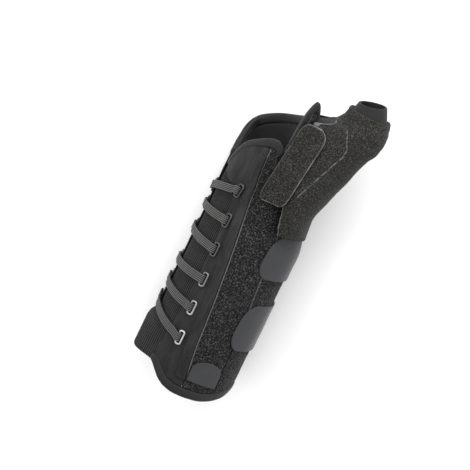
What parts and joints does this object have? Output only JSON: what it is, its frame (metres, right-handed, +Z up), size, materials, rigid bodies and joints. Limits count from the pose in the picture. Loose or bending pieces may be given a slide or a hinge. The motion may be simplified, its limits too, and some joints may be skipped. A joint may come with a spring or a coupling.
{
  "type": "thumb spica splint",
  "caption": "Laced forearm, wrist and thumb support with a hollow thumb sleeve, wrap straps and wire rings, for a left hand.",
  "frame": {"origin": "middle of the footprint on the plane that the splint rests on", "axes": "+Y along the forearm towards the thumb tip, +Z up and away from the rest side, -X towards the laced dorsal side"},
  "size_m": [0.092, 0.232, 0.0723],
  "materials": {
    "padding": "matt padded lining knit",
    "knit": "ribbed stretch knit",
    "liner": "smooth stretch knit",
    "suede": "soft suede-like brushed fabric",
    "loop": "fuzzy loop fabric",
    "closure": "smooth fine weave",
    "binding": "smooth edge tape",
    "elastic": "ribbed elastic",
    "steel": "satin wire"
  },
  "bodies": {
    "root": {"padded_body": "padding", "lace_gusset": "knit", "dorsal_lace_panel": "suede", "loop_panel": "loop", "palmar_panel": "loop", "ulnar_lace_panel": "suede", "dorsal_binding": "binding", "palmar_binding": "binding", "bottom_binding": "binding", "stay_pocket": "suede", "closure_strap_upper": "closure", "closure_strap_lower": "closure", "stay_flap": "closure", "thumb_shell": "loop", "thumb_liner": "liner", "web_strap": "loop", "dorsal_ring_1": "steel", "dorsal_ring_2": "steel", "dorsal_ring_3": "steel", "dorsal_ring_4": "steel", "dorsal_ring_5": "steel", "dorsal_ring_6": "steel", "ulnar_ring_1": "steel", "ulnar_ring_2": "steel", "ulnar_ring_3": "steel", "ulnar_ring_4": "steel", "ulnar_ring_5": "steel", "ulnar_ring_6": "steel", "lace_1": "elastic", "lace_2": "elastic", "lace_3": "elastic", "lace_4": "elastic", "lace_5": "elastic", "lace_6": "elastic"}
  },
  "joints": []
}
